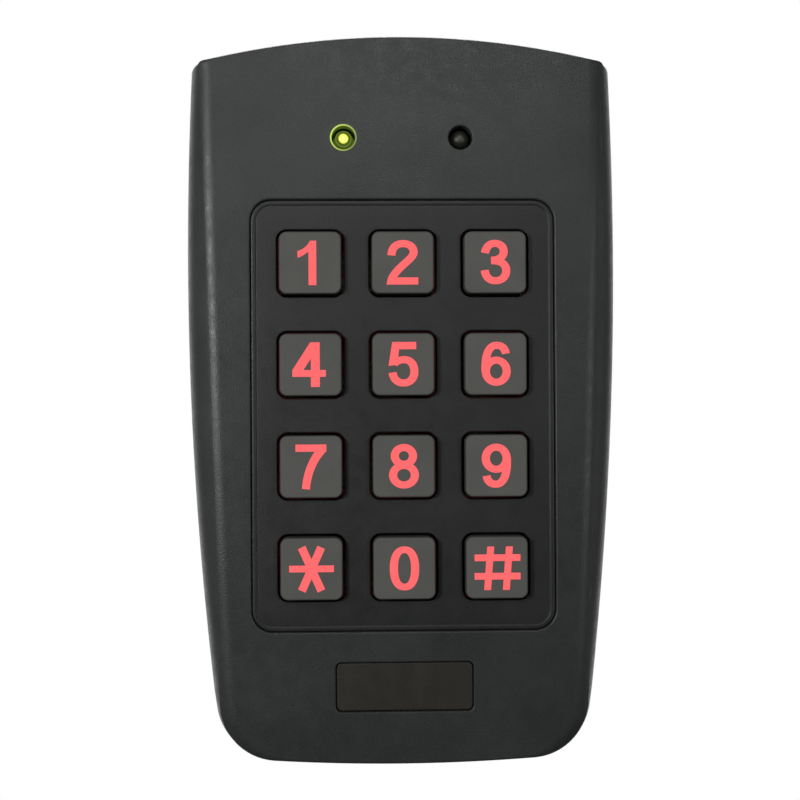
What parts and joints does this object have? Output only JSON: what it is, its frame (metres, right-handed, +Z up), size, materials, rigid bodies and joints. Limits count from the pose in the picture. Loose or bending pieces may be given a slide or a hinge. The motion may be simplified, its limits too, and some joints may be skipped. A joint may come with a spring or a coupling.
{
  "type": "keypad access reader",
  "caption": "Wall-mounted access reader with an arched housing, a telephone-layout pad of backlit square keys, two status lights and a blank name label.",
  "frame": {"origin": "middle of the back plate's wall face, half way up the housing", "axes": "+Z up, +X to the right as seen from the front, +Y out of the back into the wall, so the keys face -Y"},
  "size_m": [0.0724, 0.0271, 0.121],
  "materials": {
    "cover_plastic": "fine moulded texture, dark charcoal",
    "panel_plastic": "smooth satin, near black",
    "key_silicone": "matte grey coated silicone with lit legends",
    "mat_silicone": "translucent red-lit silicone",
    "label_film": "blank dark brown insert",
    "light_green": "clear lens, lit yellow-green",
    "light_dark": "smoked lens, unlit",
    "board_laminate": "green solder mask",
    "coil_copper": "enamelled copper winding",
    "black_resin": "moulded epoxy",
    "steel": "plated",
    "cream_nylon": "nylon",
    "seal_rubber": "soft black rubber",
    "backlight_red": "lit red chip"
  },
  "bodies": {
    "housing": {"front_cover": "cover_plastic", "back_plate": "cover_plastic", "keypad_bezel": "panel_plastic", "name_label": "label_film", "key_mat": "mat_silicone", "status_light_left": "light_green", "status_light_right": "light_dark", "circuit_board": "board_laminate", "antenna_coil": "coil_copper", "microcontroller": "black_resin", "voltage_regulator": "black_resin", "buzzer": "black_resin", "tamper_sensor": "black_resin", "capacitor": "steel", "cable_connector": "cream_nylon", "gasket": "seal_rubber", "cable_grommet": "seal_rubber", "security_screw": "steel", "key_1_skirt": "mat_silicone", "key_2_skirt": "mat_silicone", "key_3_skirt": "mat_silicone", "key_4_skirt": "mat_silicone", "key_5_skirt": "mat_silicone", "key_6_skirt": "mat_silicone", "key_7_skirt": "mat_silicone", "key_8_skirt": "mat_silicone", "key_9_skirt": "mat_silicone", "key_star_skirt": "mat_silicone", "key_0_skirt": "mat_silicone", "key_hash_skirt": "mat_silicone", "backlight_1": "backlight_red", "backlight_2": "backlight_red", "backlight_3": "backlight_red", "backlight_4": "backlight_red", "backlight_5": "backlight_red", "backlight_6": "backlight_red", "board_screw_1": "steel", "board_screw_2": "steel", "board_screw_3": "steel", "board_screw_4": "steel"},
    "key_1": {"key_1": "key_silicone"},
    "key_2": {"key_2": "key_silicone"},
    "key_3": {"key_3": "key_silicone"},
    "key_4": {"key_4": "key_silicone"},
    "key_5": {"key_5": "key_silicone"},
    "key_6": {"key_6": "key_silicone"},
    "key_7": {"key_7": "key_silicone"},
    "key_8": {"key_8": "key_silicone"},
    "key_9": {"key_9": "key_silicone"},
    "key_star": {"key_star": "key_silicone"},
    "key_0": {"key_0": "key_silicone"},
    "key_hash": {"key_hash": "key_silicone"}
  },
  "joints": [
    {"name": "key_1_press", "type": "slide", "parent": "housing", "child": "key_1", "axis": [0, 1, 0], "range_m": [0, 0.001], "stiffness_N_per_m": 1200, "deforming": ["key_1_skirt"]},
    {"name": "key_2_press", "type": "slide", "parent": "housing", "child": "key_2", "axis": [0, 1, 0], "range_m": [0, 0.001], "stiffness_N_per_m": 1200, "deforming": ["key_2_skirt"]},
    {"name": "key_3_press", "type": "slide", "parent": "housing", "child": "key_3", "axis": [0, 1, 0], "range_m": [0, 0.001], "stiffness_N_per_m": 1200, "deforming": ["key_3_skirt"]},
    {"name": "key_4_press", "type": "slide", "parent": "housing", "child": "key_4", "axis": [0, 1, 0], "range_m": [0, 0.001], "stiffness_N_per_m": 1200, "deforming": ["key_4_skirt"]},
    {"name": "key_5_press", "type": "slide", "parent": "housing", "child": "key_5", "axis": [0, 1, 0], "range_m": [0, 0.001], "stiffness_N_per_m": 1200, "deforming": ["key_5_skirt"]},
    {"name": "key_6_press", "type": "slide", "parent": "housing", "child": "key_6", "axis": [0, 1, 0], "range_m": [0, 0.001], "stiffness_N_per_m": 1200, "deforming": ["key_6_skirt"]},
    {"name": "key_7_press", "type": "slide", "parent": "housing", "child": "key_7", "axis": [0, 1, 0], "range_m": [0, 0.001], "stiffness_N_per_m": 1200, "deforming": ["key_7_skirt"]},
    {"name": "key_8_press", "type": "slide", "parent": "housing", "child": "key_8", "axis": [0, 1, 0], "range_m": [0, 0.001], "stiffness_N_per_m": 1200, "deforming": ["key_8_skirt"]},
    {"name": "key_9_press", "type": "slide", "parent": "housing", "child": "key_9", "axis": [0, 1, 0], "range_m": [0, 0.001], "stiffness_N_per_m": 1200, "deforming": ["key_9_skirt"]},
    {"name": "key_star_press", "type": "slide", "parent": "housing", "child": "key_star", "axis": [0, 1, 0], "range_m": [0, 0.001], "stiffness_N_per_m": 1200, "deforming": ["key_star_skirt"]},
    {"name": "key_0_press", "type": "slide", "parent": "housing", "child": "key_0", "axis": [0, 1, 0], "range_m": [0, 0.001], "stiffness_N_per_m": 1200, "deforming": ["key_0_skirt"]},
    {"name": "key_hash_press", "type": "slide", "parent": "housing", "child": "key_hash", "axis": [0, 1, 0], "range_m": [0, 0.001], "stiffness_N_per_m": 1200, "deforming": ["key_hash_skirt"]}
  ]
}
